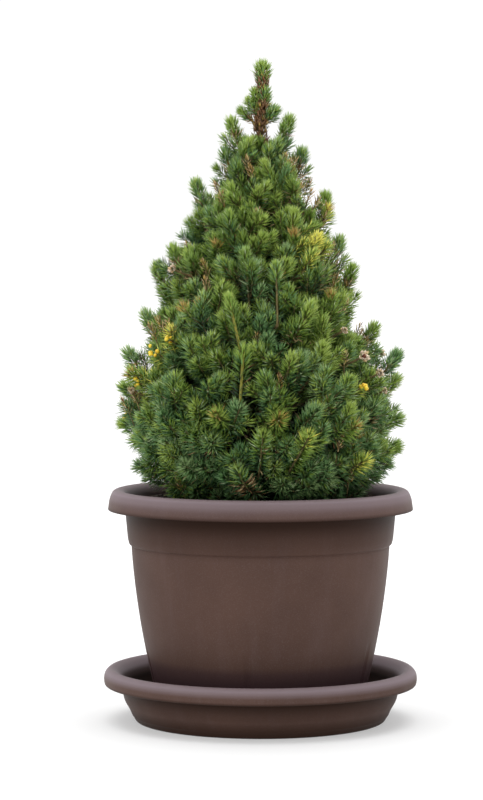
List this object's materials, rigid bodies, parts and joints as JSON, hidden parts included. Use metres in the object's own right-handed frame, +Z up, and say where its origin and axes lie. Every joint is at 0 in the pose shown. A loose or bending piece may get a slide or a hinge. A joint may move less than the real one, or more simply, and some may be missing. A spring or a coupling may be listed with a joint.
{
  "type": "potted alberta spruce",
  "caption": "Small cone-shaped evergreen conifer, densely needled down to its soil, in a round brown plastic pot with a rolled rim that stands on a matching saucer.",
  "frame": {"origin": "centre of the saucer's flat underside, on the axis of the pot", "axes": "+Z up along the pot's axis and the trunk; -Y is the side that the picture shows, +X to its right"},
  "size_m": [0.3108, 0.3108, 0.6509],
  "materials": {
    "saucer_plastic": "satin brown, dusted grey on the rim",
    "pot_plastic": "satin brown, dusted grey on the rim",
    "soil": "crumbly potting compost",
    "bark": "rough scaly bark",
    "needles": "fresh green needles, darker inside the crown"
  },
  "bodies": {
    "root": {"saucer": "saucer_plastic", "pot": "pot_plastic", "soil": "soil", "trunk": "bark", "foliage_crest_a": "needles", "foliage_crest_b": "needles", "foliage_crest_c": "needles", "foliage_crest_d": "needles", "foliage_high_a": "needles", "foliage_high_b": "needles", "foliage_high_c": "needles", "foliage_high_d": "needles", "foliage_high_e": "needles", "foliage_low_a": "needles", "foliage_low_b": "needles", "foliage_low_c": "needles", "foliage_low_d": "needles", "foliage_low_e": "needles", "foliage_low_f": "needles", "foliage_low_g": "needles", "foliage_middle_a": "needles", "foliage_middle_b": "needles", "foliage_middle_c": "needles", "foliage_middle_d": "needles", "foliage_middle_e": "needles", "foliage_middle_f": "needles", "foliage_shoulder_a": "needles", "foliage_shoulder_b": "needles", "foliage_shoulder_c": "needles", "foliage_shoulder_d": "needles", "foliage_skirt_a": "needles", "foliage_skirt_b": "needles", "foliage_skirt_c": "needles", "foliage_skirt_d": "needles", "foliage_skirt_e": "needles", "foliage_skirt_f": "needles", "foliage_skirt_g": "needles", "foliage_upper_a": "needles", "foliage_upper_b": "needles", "foliage_upper_c": "needles", "foliage_upper_d": "needles", "foliage_upper_e": "needles", "foliage_upper_f": "needles", "leader_shoot_back": "needles", "leader_shoot_front": "needles", "leader_shoot_left": "needles", "leader_shoot_right": "needles", "low_bough_a": "bark", "low_bough_b": "bark", "low_bough_c": "bark", "low_bough_d": "bark", "low_bough_e": "bark", "low_bough_f": "bark", "low_bough_g": "bark", "top_tuft": "needles"}
  },
  "joints": []
}
